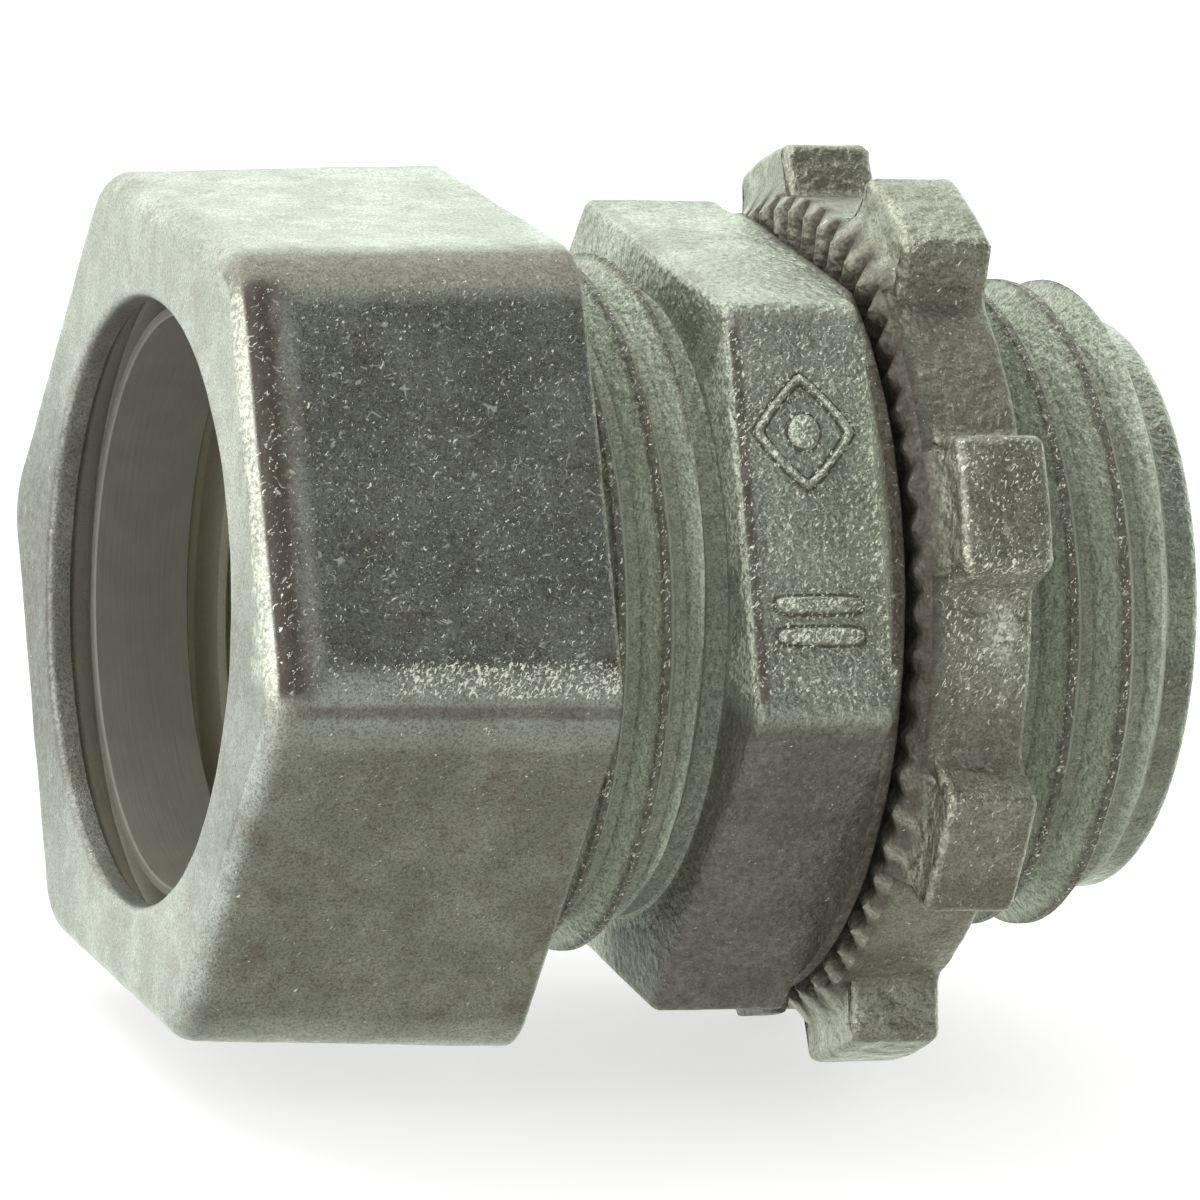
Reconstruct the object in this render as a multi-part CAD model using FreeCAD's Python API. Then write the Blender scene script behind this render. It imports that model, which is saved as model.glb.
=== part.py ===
import FreeCAD, Part
import math
import os

# A half-inch compression connector for thin-wall steel conduit, with its box locknut.
# The conduit enters the nut at the -X end, and the threaded nose at the +X end goes through
# the wall of a steel box, where the locknut clamps it.
#
# Frame: millimetres, +X along the connector's axis towards the box, +Z up, normal to a pair of
# body flats. The origin is on the axis, in the plane of the shoulder that seats on the box wall.
# Angles are in degrees about +X, from +Y towards +Z.

Vector = FreeCAD.Vector
AXIS = Vector(1, 0, 0)

# Body hexagon and shoulder
BODY_HEX_LEFT = -5.03        # face towards the compression nut
BODY_HEX_RIGHT = -0.47       # where the round shoulder flange starts
BODY_HEX_CORNER_RADIUS = 13.5   # axis to the sharp corner
BODY_HEX_ROUNDING = 0.6
BODY_HEX_EDGE = 0.35         # rounding of the edges towards the nut
HEX_CORE_RADIUS = 9.6        # inside the metal, where the hexagon joins the turned core
FLANGE_RADIUS = 12.7         # trimmed flush with the hexagon's top and bottom flats
FLANGE_EDGE = 0.12

# Passage through the body
SOCKET_RADIUS = 9.1          # the conduit is 17.93 mm across
SOCKET_STOP = -1.9           # the step that stops the conduit
SOCKET_MOUTH_FLARE = 0.65
THROAT_RADIUS = 7.9
THROAT_EDGE = 0.5

# Compression thread, on the body
COMP_PITCH = 1.52
COMP_MAJOR = 11.2
COMP_DEPTH = 0.93
COMP_CREST = 0.19
COMP_CREST_X = -7.38         # the place of one crest
COMP_START = -14.5           # the body's end, inside the nut
COMP_LEAD = 0.2              # plain lead-in before the first ridge
COMP_RELIEF_LENGTH = 0.77
COMP_RELIEF_RADIUS = 10.1
COMP_CLEARANCE = 0.09        # from the thread's crests to the nut's bore

# Box thread, 14 threads to the inch
BOX_PITCH = 1.814
BOX_MAJOR = 10.5
BOX_DEPTH = 1.15
BOX_CREST = 0.25
BOX_CREST_X = 7.9
NOSE_END = 11.4
NOSE_TAPER_START = 10.1
NOSE_LAND = 0.25
NOSE_LAND_RADIUS = 9.6
NOSE_TIP_RADIUS = 9.3
NOSE_ROUNDING = 0.45

# Compression nut
NUT_LEFT = -21.2
NUT_RIGHT = -9.86
NUT_CORNER_RADIUS_LEFT = 14.61   # the casting's draft makes the right end larger
NUT_CORNER_RADIUS_RIGHT = 14.98
NUT_ROUNDING = 2.6
NUT_TURN = -2.68             # turned from the body's hexagon
NUT_FACE_EDGE = 0.9
NUT_BACK_EDGE = 0.3
NUT_MOUTH_RADIUS = 9.6
NUT_MOUTH_EDGE = 0.3
NUT_MOUTH_LAND = 0.8
NUT_RING_POCKET_RADIUS = 10.6
NUT_RING_POCKET_END = -17.6
NUT_ENTRY_CHAMFER = 0.25

# Gland ring: split, with a bevel on each end
RING_LEFT = -19.75
RING_LENGTH = 3.2
RING_INNER = 9.1
RING_OUTER = 10.35
RING_FACE = 0.3              # width of the flat on each end
RING_SPLIT = 1.2
RING_SPLIT_ANGLE = 180.0

# Locknut
LOCK_LEFT = 1.11
LOCK_RIGHT = 4.16
LOCK_BORE = 10.6             # clears the box thread's crests
LOCK_BORE_CHAMFER = 0.4
LOCK_LUGS = 8
LOCK_LUG_RADIUS = 14.91
LOCK_VALLEY_RADIUS = 13.09
LOCK_LUG_HALF_ANGLE = 8.87
LOCK_LUG_FLARE = 1.4         # the flanks widen by this angle towards the root
LOCK_TURN = 16.53
TEETH = 60
TEETH_TIP = 0.25
TEETH_DEPTH = 0.6
TEETH_TURN = 3.25
TEETH_CREST_SHARE = 0.08     # part of a tooth's angle that is left flat at its crest
TEETH_INNER = 10.9
TEETH_OUTER_CHAMFER = 0.45
TOOTH_CUTTER_REACH = 1.0     # how far the gaps' cutters run past the valleys

FLANK_SLOPE = math.tan(math.radians(30))   # of a 60 degree thread
CUT_MARGIN = 0.3             # how far a cutter stands out of the metal that it cuts
PLANE_TOLERANCE = 1e-4


def on_circle(x, radius, angle):
    a = math.radians(angle)
    return Vector(x, radius * math.cos(a), radius * math.sin(a))


def revolved(profile):
    """A solid of revolution about the axis from (x, radius) points."""
    points = [Vector(x, 0, r) for x, r in profile]
    face = Part.Face(Part.makePolygon(points + points[:1]))
    return face.revolve(Vector(0, 0, 0), AXIS, 360)


def tube(x0, x1, inner, outer):
    return revolved([(x0, inner), (x1, inner), (x1, outer), (x0, outer)])


def thread_profile(x_from, x_to, crest_x, pitch, major, depth, crest):
    """(x, radius) points of a 60 degree thread's ridges, for those that fit between the ends.

    Each turn is a closed ring at the pitch: the ridge has the thread's section, but no helix.
    """
    half_crest = crest / 2
    half_root = half_crest + depth * FLANK_SLOPE
    points = []
    ridge = crest_x + pitch * math.ceil((x_from + half_root - crest_x) / pitch)
    while ridge + half_root <= x_to:
        points += [
            (ridge - half_root, major - depth),
            (ridge - half_crest, major),
            (ridge + half_crest, major),
            (ridge + half_root, major - depth),
        ]
        ridge += pitch
    return points


def rounded_hexagon(x, corner_radius, rounding, turn):
    """A closed wire of six lines and six arcs in the plane at x."""
    back = rounding * math.tan(math.radians(30))
    edges = []
    previous = None
    first = None
    for corner in range(6):
        angle = turn + 60 * corner
        tip = on_circle(x, corner_radius, angle)
        before = on_circle(x, corner_radius, angle - 60) - tip
        after = on_circle(x, corner_radius, angle + 60) - tip
        start = tip + before.normalize() * back
        end = tip + after.normalize() * back
        apex = on_circle(x, corner_radius - rounding * (1 / math.cos(math.radians(30)) - 1), angle)
        if previous is None:
            first = start
        else:
            edges.append(Part.makeLine(previous, start))
        edges.append(Part.Arc(start, apex, end).toShape())
        previous = end
    edges.append(Part.makeLine(previous, first))
    return Part.Wire(edges)


def edges_at(shape, x, least_radius):
    """The outline edges that lie in the plane at x, beyond least_radius from the axis."""
    found = []
    for edge in shape.Edges:
        ends = [v.Point for v in edge.Vertexes]
        in_plane = all(abs(p.x - x) < PLANE_TOLERANCE for p in ends)
        outside = all(math.hypot(p.y, p.z) > least_radius for p in ends)
        if in_plane and outside:
            found.append(edge)
    return found


def connector_body():
    # everything round about the axis: both threaded ends, the relief groove and the flange
    relief_start = BODY_HEX_LEFT - COMP_RELIEF_LENGTH
    comp_minor = COMP_MAJOR - COMP_DEPTH
    box_minor = BOX_MAJOR - BOX_DEPTH
    compression_thread = thread_profile(COMP_START + COMP_LEAD, relief_start, COMP_CREST_X,
                                        COMP_PITCH, COMP_MAJOR, COMP_DEPTH, COMP_CREST)
    box_thread = thread_profile(0, NOSE_TAPER_START, BOX_CREST_X,
                                BOX_PITCH, BOX_MAJOR, BOX_DEPTH, BOX_CREST)
    turned = revolved(
        [
            (COMP_START, SOCKET_RADIUS + SOCKET_MOUTH_FLARE),
            (COMP_START, comp_minor),
        ]
        + compression_thread
        + [
            (relief_start, comp_minor),
            (relief_start, COMP_RELIEF_RADIUS),
            (BODY_HEX_RIGHT, COMP_RELIEF_RADIUS),
            (BODY_HEX_RIGHT, FLANGE_RADIUS),
            (-FLANGE_EDGE, FLANGE_RADIUS),
            (0, FLANGE_RADIUS - FLANGE_EDGE),
            (0, box_minor),
        ]
        + box_thread
        + [
            (NOSE_TAPER_START, box_minor),
            (NOSE_TAPER_START + NOSE_LAND, NOSE_LAND_RADIUS),
            (NOSE_END - NOSE_ROUNDING, NOSE_TIP_RADIUS),
            (NOSE_END, NOSE_TIP_RADIUS - NOSE_ROUNDING),
            (NOSE_END, THROAT_RADIUS + THROAT_EDGE),
            (NOSE_END - THROAT_EDGE, THROAT_RADIUS),
            (SOCKET_STOP, THROAT_RADIUS),
            (SOCKET_STOP, SOCKET_RADIUS),
            (COMP_START + SOCKET_MOUTH_FLARE, SOCKET_RADIUS),
        ]
    )

    # hexagon, with its edges towards the nut rounded
    wires = [rounded_hexagon(x, BODY_HEX_CORNER_RADIUS, BODY_HEX_ROUNDING, 0)
             for x in (BODY_HEX_LEFT, BODY_HEX_RIGHT)]
    hexagon = Part.makeLoft(wires, True, True)
    hexagon = hexagon.makeFillet(BODY_HEX_EDGE, edges_at(hexagon, BODY_HEX_LEFT, SOCKET_RADIUS))
    hexagon = hexagon.cut(revolved([
        (BODY_HEX_LEFT - CUT_MARGIN, 0),
        (BODY_HEX_RIGHT + CUT_MARGIN, 0),
        (BODY_HEX_RIGHT + CUT_MARGIN, HEX_CORE_RADIUS),
        (BODY_HEX_LEFT - CUT_MARGIN, HEX_CORE_RADIUS),
    ]))
    body = turned.fuse(hexagon).removeSplitter()

    # trim the round flange flush with the top and bottom flats
    flat = BODY_HEX_CORNER_RADIUS * math.cos(math.radians(30))
    reach = FLANGE_RADIUS + CUT_MARGIN
    for below in (flat, -reach):
        body = body.cut(Part.makeBox(CUT_MARGIN - BODY_HEX_RIGHT, 2 * reach, reach - flat,
                                     Vector(BODY_HEX_RIGHT, -reach, below)))
    return body


def compression_nut():
    wires = [
        rounded_hexagon(NUT_LEFT, NUT_CORNER_RADIUS_LEFT, NUT_ROUNDING, NUT_TURN),
        rounded_hexagon(NUT_RIGHT, NUT_CORNER_RADIUS_RIGHT, NUT_ROUNDING, NUT_TURN),
    ]
    nut = Part.makeLoft(wires, True, True)
    nut = nut.makeFillet(NUT_FACE_EDGE, edges_at(nut, NUT_LEFT, 0))
    nut = nut.makeFillet(NUT_BACK_EDGE, edges_at(nut, NUT_RIGHT, 0))

    # inside: mouth, cone that squeezes the ring, ring pocket, then the bore for the body's thread
    land_end = NUT_LEFT + NUT_MOUTH_LAND
    cone_end = land_end + NUT_RING_POCKET_RADIUS - NUT_MOUTH_RADIUS
    bore = COMP_MAJOR + COMP_CLEARANCE
    return nut.cut(revolved([
        (NUT_LEFT - CUT_MARGIN, 0),
        (NUT_RIGHT + CUT_MARGIN, 0),
        (NUT_RIGHT + CUT_MARGIN, bore + NUT_ENTRY_CHAMFER),
        (NUT_RIGHT, bore + NUT_ENTRY_CHAMFER),
        (NUT_RIGHT - NUT_ENTRY_CHAMFER, bore),
        (NUT_RING_POCKET_END, bore),
        (NUT_RING_POCKET_END, NUT_RING_POCKET_RADIUS),
        (cone_end, NUT_RING_POCKET_RADIUS),
        (land_end, NUT_MOUTH_RADIUS),
        (NUT_LEFT + NUT_MOUTH_EDGE, NUT_MOUTH_RADIUS),
        (NUT_LEFT, NUT_MOUTH_RADIUS + NUT_MOUTH_EDGE),
        (NUT_LEFT - CUT_MARGIN, NUT_MOUTH_RADIUS + NUT_MOUTH_EDGE),
    ]))


def gland_ring():
    right = RING_LEFT + RING_LENGTH
    bevel = RING_OUTER - RING_INNER - RING_FACE
    ring = revolved([
        (RING_LEFT, RING_INNER),
        (right, RING_INNER),
        (right, RING_INNER + RING_FACE),
        (right - bevel, RING_OUTER),
        (RING_LEFT + bevel, RING_OUTER),
        (RING_LEFT, RING_INNER + RING_FACE),
    ])
    slot = Part.makeBox(RING_LENGTH + 2 * CUT_MARGIN, RING_OUTER + CUT_MARGIN, RING_SPLIT,
                        Vector(RING_LEFT - CUT_MARGIN, 0, -RING_SPLIT / 2))
    slot.rotate(Vector(0, 0, 0), AXIS, RING_SPLIT_ANGLE)
    return ring.cut(slot)


def locknut_outline():
    """The locknut's outer wire: lug arcs and valley arcs joined by straight flanks."""
    step = 360.0 / LOCK_LUGS
    edges = []
    for lug in range(LOCK_LUGS):
        middle = LOCK_TURN + step * lug
        tip_from = on_circle(LOCK_LEFT, LOCK_LUG_RADIUS, middle - LOCK_LUG_HALF_ANGLE)
        tip_mid = on_circle(LOCK_LEFT, LOCK_LUG_RADIUS, middle)
        tip_to = on_circle(LOCK_LEFT, LOCK_LUG_RADIUS, middle + LOCK_LUG_HALF_ANGLE)
        root = LOCK_LUG_HALF_ANGLE + LOCK_LUG_FLARE
        root_from = on_circle(LOCK_LEFT, LOCK_VALLEY_RADIUS, middle - root)
        root_to = on_circle(LOCK_LEFT, LOCK_VALLEY_RADIUS, middle + root)
        valley_mid = on_circle(LOCK_LEFT, LOCK_VALLEY_RADIUS, middle + step / 2)
        valley_end = on_circle(LOCK_LEFT, LOCK_VALLEY_RADIUS, middle + step - root)
        edges.append(Part.makeLine(root_from, tip_from))
        edges.append(Part.Arc(tip_from, tip_mid, tip_to).toShape())
        edges.append(Part.makeLine(tip_to, root_to))
        edges.append(Part.Arc(root_to, valley_mid, valley_end).toShape())
    return Part.Wire(edges)


def tooth_gap(angle):
    """A pyramid with its point on the axis, which cuts the gap between two serrations."""
    reach = LOCK_VALLEY_RADIUS + TOOTH_CUTTER_REACH
    half = 180.0 / TEETH * (1 - TEETH_CREST_SHARE)
    depth = TEETH_DEPTH * reach / LOCK_VALLEY_RADIUS
    apex = Vector(TEETH_TIP, 0, 0)
    corners = [
        on_circle(TEETH_TIP, reach, angle - half),
        on_circle(TEETH_TIP, reach, angle + half),
        on_circle(TEETH_TIP + depth, reach * math.cos(math.radians(half)), angle),
    ]
    triangles = [
        (apex, corners[0], corners[1]),
        (apex, corners[1], corners[2]),
        (apex, corners[2], corners[0]),
        (corners[0], corners[2], corners[1]),
    ]
    faces = [Part.Face(Part.makePolygon([a, b, c, a])) for a, b, c in triangles]
    return Part.Solid(Part.Shell(faces))


def locknut():
    plate = Part.Face(locknut_outline()).extrude(AXIS * (LOCK_RIGHT - LOCK_LEFT))
    crown = revolved([
        (LOCK_LEFT, 0),
        (TEETH_TIP, 0),
        (TEETH_TIP, LOCK_VALLEY_RADIUS - TEETH_OUTER_CHAMFER),
        (TEETH_TIP + TEETH_OUTER_CHAMFER, LOCK_VALLEY_RADIUS),
        (LOCK_LEFT, LOCK_VALLEY_RADIUS),
    ])
    step = 360.0 / TEETH
    gaps = [tooth_gap(TEETH_TURN + step * (tooth + 0.5)) for tooth in range(TEETH)]
    crown = crown.cut(tube(TEETH_TIP - CUT_MARGIN, LOCK_LEFT, 0.0, TEETH_INNER))
    crown = crown.cut(gaps)
    bore = revolved([
        (TEETH_TIP - CUT_MARGIN, 0),
        (LOCK_RIGHT + CUT_MARGIN, 0),
        (LOCK_RIGHT + CUT_MARGIN, LOCK_BORE + LOCK_BORE_CHAMFER),
        (LOCK_RIGHT, LOCK_BORE + LOCK_BORE_CHAMFER),
        (LOCK_RIGHT - LOCK_BORE_CHAMFER, LOCK_BORE),
        (TEETH_TIP - CUT_MARGIN, LOCK_BORE),
    ])
    return plate.fuse(crown).removeSplitter().cut(bore)


def main():
    os.makedirs("parts", exist_ok=True)
    pieces = {
        "connector_body": connector_body,
        "compression_nut": compression_nut,
        "gland_ring": gland_ring,
        "locknut": locknut,
    }
    for name, make in pieces.items():
        shape = make()
        solids = shape.Solids
        print(name, "solids", len(solids), "valid", shape.isValid(), "volume", round(shape.Volume, 1))
        solids[0].exportStep("parts/" + name + ".step")


main()
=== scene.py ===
import math

import bmesh
import bpy
import numpy as np
from mathutils import Matrix, Vector, noise


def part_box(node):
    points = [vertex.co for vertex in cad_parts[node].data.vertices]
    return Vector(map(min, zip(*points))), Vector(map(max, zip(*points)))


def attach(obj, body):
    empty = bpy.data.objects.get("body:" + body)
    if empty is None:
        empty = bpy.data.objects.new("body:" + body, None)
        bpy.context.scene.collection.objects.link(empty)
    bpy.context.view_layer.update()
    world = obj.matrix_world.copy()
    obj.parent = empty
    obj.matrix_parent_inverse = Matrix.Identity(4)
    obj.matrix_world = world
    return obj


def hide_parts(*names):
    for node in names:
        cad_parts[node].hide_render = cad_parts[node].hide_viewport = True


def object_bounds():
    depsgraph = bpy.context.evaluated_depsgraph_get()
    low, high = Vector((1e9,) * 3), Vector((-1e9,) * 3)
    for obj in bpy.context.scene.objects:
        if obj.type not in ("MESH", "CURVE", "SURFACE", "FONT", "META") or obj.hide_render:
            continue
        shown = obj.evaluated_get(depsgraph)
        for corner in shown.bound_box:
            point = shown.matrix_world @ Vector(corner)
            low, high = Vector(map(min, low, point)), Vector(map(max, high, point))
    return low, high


# The looks of a half-inch conduit compression connector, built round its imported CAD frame.
# Sizes are millimetres in the frame's own axes: +X along the connector towards the box, +Z up.
# Angles are degrees about +X, from +Y towards +Z. Meshes are made in metres.

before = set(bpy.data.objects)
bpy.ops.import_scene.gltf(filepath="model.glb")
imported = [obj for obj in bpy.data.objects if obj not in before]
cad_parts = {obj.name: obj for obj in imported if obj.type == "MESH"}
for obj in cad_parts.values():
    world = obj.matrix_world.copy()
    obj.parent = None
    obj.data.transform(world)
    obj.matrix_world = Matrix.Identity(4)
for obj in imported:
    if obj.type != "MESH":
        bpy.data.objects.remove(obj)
cad_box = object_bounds()

MM = 0.001
TAN30 = math.tan(math.radians(30))
COS30 = math.cos(math.radians(30))


def span(node):
    """A CAD node's lowest and highest X, in millimetres."""
    low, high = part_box(node)
    return low.x / MM, high.x / MM


NUT_LEFT, NUT_RIGHT = span("compression_nut")
BODY_LEFT, BODY_RIGHT = span("connector_body")
RING_LEFT, RING_RIGHT = span("gland_ring")
TEETH_TIP, LOCK_RIGHT = span("locknut")

# ---------------------------------------------------------------- mesh helpers

MERGE_DISTANCE = 2e-6        # metres
LEAST_ROUNDING = 0.02


def smoothstep(low, high, value):
    """0 at low to 1 at high; low may be the larger."""
    t = np.clip((value - low) / (high - low), 0.0, 1.0)
    return t * t * (3 - 2 * t)


def band(value, start, full, fade, end):
    """1 between full and fade, and 0 before start and after end."""
    return smoothstep(start, full, value) * smoothstep(end, fade, value)


def quarter_turn(steps, first=0):
    """Angles in radians over a quarter turn, from step number first, for a rounded edge."""
    return [math.radians(90 / steps * step) for step in range(first, steps + 1)]


def polar(co, turn=0.0):
    """The x, radius and angle from turn, in degrees, of (x, y, z) points."""
    angle = np.degrees(np.arctan2(co[:, 2], co[:, 1])) - turn
    return co[:, 0], np.hypot(co[:, 1], co[:, 2]), angle % 360


def apart(angle, other):
    """How many degrees lie between two angles, the short way round."""
    return np.abs((angle - other + 180) % 360 - 180)


def off_nearest(angle, pitch):
    """How many degrees an angle is from the nearest multiple of pitch."""
    return np.abs((angle + pitch / 2) % pitch - pitch / 2)


def fractal(points, scale, octaves, seed):
    """Smooth noise of about -1 to 1 at each (x, y, z) point; scale is in cycles per millimetre."""
    shift = Vector((seed * 7.3, seed * 3.1, seed * 5.7))
    return np.array([noise.fractal(Vector(p) * scale + shift, 0.6, 2.0, octaves) for p in points])


class Rows:
    """Rows of points round the axis, one after another along a closed section of the piece."""

    def __init__(self, angles):
        self.angles = angles
        self.cos = np.cos(np.radians(angles))
        self.sin = np.sin(np.radians(angles))
        self.rows = []

    def add(self, x, radius):
        """One row: x and radius are numbers, or arrays with a value for each angle."""
        x = np.broadcast_to(x, self.angles.shape)
        self.rows.append(np.stack([x, radius * self.cos, radius * self.sin], axis=1))

    def line(self, start, end, steps, with_end=True):
        """Rows from start to end, both (x, radius), the start row left out."""
        for step in range(1, steps + with_end):
            t = step / steps
            self.add(start[0] + (end[0] - start[0]) * t, start[1] + (end[1] - start[1]) * t)

    def add_all(self, rows):
        for x, radius in rows:
            self.add(x, radius)

    def points(self, x, y, z):
        """One row of points away from the axis by y and z, which are arrays."""
        x = np.broadcast_to(x, self.angles.shape)
        self.rows.append(np.stack([x, y, z], axis=1))


def closed_mesh(name, rows, sharp_angle, join_ends=True):
    """A mesh from rows of points; the last row joins the first, and points that meet are merged."""
    grid = np.array(rows)
    count, columns = grid.shape[:2]
    index = np.arange(count * columns).reshape(count, columns)
    following = np.roll(index, -1, axis=0)
    quads = np.stack([index[:, :-1], index[:, 1:], following[:, 1:], following[:, :-1]], axis=-1)
    faces = quads.reshape(-1, 4).tolist()
    if not join_ends:
        faces += [index[::-1, 0].tolist(), index[:, -1].tolist()]
    mesh = bpy.data.meshes.new(name)
    mesh.from_pydata((grid.reshape(-1, 3) * MM).tolist(), [], faces)
    work = bmesh.new()
    work.from_mesh(mesh)
    bmesh.ops.remove_doubles(work, verts=work.verts, dist=MERGE_DISTANCE)
    bmesh.ops.dissolve_degenerate(work, edges=work.edges, dist=MERGE_DISTANCE / 2)
    bmesh.ops.recalc_face_normals(work, faces=work.faces)
    for face in work.faces:
        face.smooth = True
    work.to_mesh(mesh)
    work.free()
    mesh.set_sharp_from_angle(angle=math.radians(sharp_angle))
    piece = bpy.data.objects.new(name, mesh)
    bpy.context.scene.collection.objects.link(piece)
    return piece


def join(piece, others):
    """Adds other pieces' meshes to a piece's own."""
    work = bmesh.new()
    for part in [piece] + others:
        work.from_mesh(part.data)
    work.to_mesh(piece.data)
    work.free()
    for other in others:
        bpy.data.objects.remove(other)


def coordinates(piece):
    """A piece's vertices in millimetres."""
    co = np.empty(len(piece.data.vertices) * 3, np.float32)
    piece.data.vertices.foreach_get("co", co)
    return co.reshape(-1, 3) / MM


def roughen(piece, depth, scale, seed, from_radius=0.0):
    """Sinks the surface beyond from_radius by up to depth millimetres, unevenly, as on a casting."""
    co = coordinates(piece)
    normals = np.empty(len(co) * 3, np.float32)
    piece.data.vertices.foreach_get("normal", normals)
    sink = depth * (0.5 + 0.5 * np.clip(fractal(co, scale, 3, seed), -1, 1))
    sink = sink * (np.hypot(co[:, 1], co[:, 2]) > from_radius)
    moved = co - normals.reshape(-1, 3) * sink[:, None]
    piece.data.vertices.foreach_set("co", (moved * MM).astype(np.float32).ravel())
    piece.data.update()


def paint(piece, name, values):
    """Stores one number per vertex, for the materials to read."""
    layer = piece.data.attributes.new(name, "FLOAT", "POINT")
    layer.data.foreach_set("value", np.clip(values, 0, 1).astype(np.float32))


def hexagon(angles, corner_radius, rounding, inset, turn):
    """The radius at each angle of a hexagon with rounded corners, inset by a distance all round."""
    apothem = corner_radius * COS30 - inset
    rounding = max(rounding - inset, LEAST_ROUNDING)
    off_corner = np.radians(off_nearest(angles - turn, 60))
    off_flat = math.radians(30) - off_corner
    centre = (apothem - rounding) / COS30
    flat = apothem / np.cos(off_flat)
    inside = np.maximum(rounding ** 2 - (centre * np.sin(off_corner)) ** 2, 0)
    arc = centre * np.cos(off_corner) + np.sqrt(inside)
    tangent = math.atan2((apothem - rounding) * TAN30, apothem)
    return np.where(off_flat < tangent, flat, arc)


def hexagon_angles(turn, corner_width, corner_steps, flat_steps):
    """A full turn of angles that lie closer together round a hexagon's corners."""
    corner = np.linspace(-corner_width, corner_width, corner_steps)
    flat = np.linspace(corner_width, 60 - corner_width, flat_steps)[1:-1]
    side = np.concatenate([corner, flat])
    angles = np.concatenate([turn + 60 * count + side for count in range(6)])
    return np.append(angles, angles[0] + 360)


MARK_COLUMNS = 65
MARK_SHARP_ANGLE = 50


def raised_mark(name, centre, across, along, normal, half_across, half_along, power, steps):
    """A raised mark on a flat face: an oval (power 2), rhombus (1) or rounded bar (4).

    steps are (distance in from the outline, height above the face), from the outside inwards.
    """
    turn = np.linspace(0, 2 * math.pi, MARK_COLUMNS)
    u = np.sign(np.cos(turn)) * np.abs(np.cos(turn)) ** (2 / power)
    v = np.sign(np.sin(turn)) * np.abs(np.sin(turn)) ** (2 / power)
    rows = []
    for inward, height in steps:
        reach_u = u * max(half_across - inward, 0)
        reach_v = v * max(half_along - inward, 0)
        rows.append(centre + reach_u[:, None] * across + reach_v[:, None] * along + height * normal)
    return closed_mesh(name, rows, MARK_SHARP_ANGLE)


class Thread:
    """A right-handed 60 degree thread. crest_x is where a crest crosses angle 0."""

    def __init__(self, pitch, major, depth, crest, crest_x):
        self.pitch = pitch
        self.major = major
        self.depth = depth
        self.crest = crest
        self.crest_x = crest_x

    def ridge(self, x, angles):
        """0 at the root to 1 at the crest."""
        turns = (x - self.crest_x) / self.pitch - angles / 360
        from_crest = np.abs((turns + 0.5) % 1 - 0.5) * self.pitch
        flank = self.depth * TAN30
        ramp = np.clip((self.crest / 2 + flank - from_crest) / flank, 0, 1)
        return 0.55 * ramp + 0.45 * ramp * ramp * (3 - 2 * ramp)

    def rows(self, x_from, x_to, angles, radius):
        """(x, radius) rows that follow the helix, with their ends held at x_from and x_to.

        radius(x, ridge) gives the surface for a place and its height on the ridge.
        """
        half_crest = self.crest / 2 / self.pitch
        flank = self.depth * TAN30 / self.pitch
        steps = [0, half_crest, half_crest + 0.12 * flank, half_crest + 0.4 * flank,
                 half_crest + 0.72 * flank, half_crest + 0.94 * flank]
        phases = sorted(set(steps + [1 - step for step in steps[1:]] + [0.5]))
        first = math.floor((x_from - self.crest_x) / self.pitch) - 1
        last = math.ceil((x_to - self.crest_x) / self.pitch)
        made = []
        for turn in range(first, last + 1):
            for phase in phases:
                base = self.crest_x + self.pitch * (turn + phase)
                if x_from - self.pitch <= base <= x_to:
                    x = np.clip(base + self.pitch * angles / 360, x_from, x_to)
                    made.append((x, radius(x, self.ridge(x, angles))))
        return made


# ---------------------------------------------------------------- connector body

COMP_THREAD = Thread(pitch=1.52, major=11.2, depth=0.93, crest=0.19, crest_x=-8.071)
BOX_THREAD = Thread(pitch=1.814, major=10.5, depth=1.15, crest=0.25, crest_x=7.528)
BODY_HEX_LEFT = -5.03
BODY_HEX_RIGHT = -0.47
BODY_CORNER = 13.5
BODY_ROUNDING = 0.6
BODY_EDGE = 0.4
BODY_RIGHT_EDGE = 0.2
BODY_SHARP_ANGLE = 38
COMP_LEAD_EDGE = 0.08
COMP_THREAD_START = BODY_LEFT + 0.1
COMP_THREAD_FULL = BODY_LEFT + 0.9
COMP_THREAD_FADE = 0.35
RELIEF_LEFT = -5.8
RELIEF_RADIUS = 10.1
RELIEF_SLOPE = 0.12
RELIEF_FILLET = 0.1
FLANGE_RADIUS = 12.7
FLANGE_EDGE = 0.12
GATE_RADIUS = 13.38          # a small stub of casting metal on the flange, below
GATE_LEFT = -0.95
GATE_SLOPE = 0.12
GATE_ANGLES = (241, 244.5, 254, 259)
SOCKET_RADIUS = 9.1
SOCKET_STOP = -1.9
SOCKET_FLARE = 0.65
THROAT_RADIUS = 7.9
THROAT_EDGE = 0.5
THREAD_END = 10.1
BOX_THREAD_FULL = 0.4
BOX_THREAD_FADE = THREAD_END - 0.55
BOX_THREAD_STOP = THREAD_END + 0.25
NOSE_TIP_RADIUS = 9.3
NOSE_ROUNDING = 0.45
MARK_FACET = 150             # the way the marked facet faces
MARK_X = -2.7
MARK_HEIGHT = 0.2
MARK_SUNK = -0.1             # how far the marks' feet lie below the facet
MARK_FOOT = 0.015
RHOMBUS_UP = 2.6
RHOMBUS_HALF = (1.7, 1.9)
PIP_HALF = (0.55, 0.6)
BARS_UP = (-2.95, -3.95)
BAR_HALF = (1.45, 0.3)
OVAL, RHOMBUS, BAR = 2, 1.15, 4


def comp_surface(x, ridge):
    full = band(x, COMP_THREAD_START, COMP_THREAD_FULL, RELIEF_LEFT - COMP_THREAD_FADE, RELIEF_LEFT)
    return COMP_THREAD.major - COMP_THREAD.depth * (1 - ridge * full)


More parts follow.
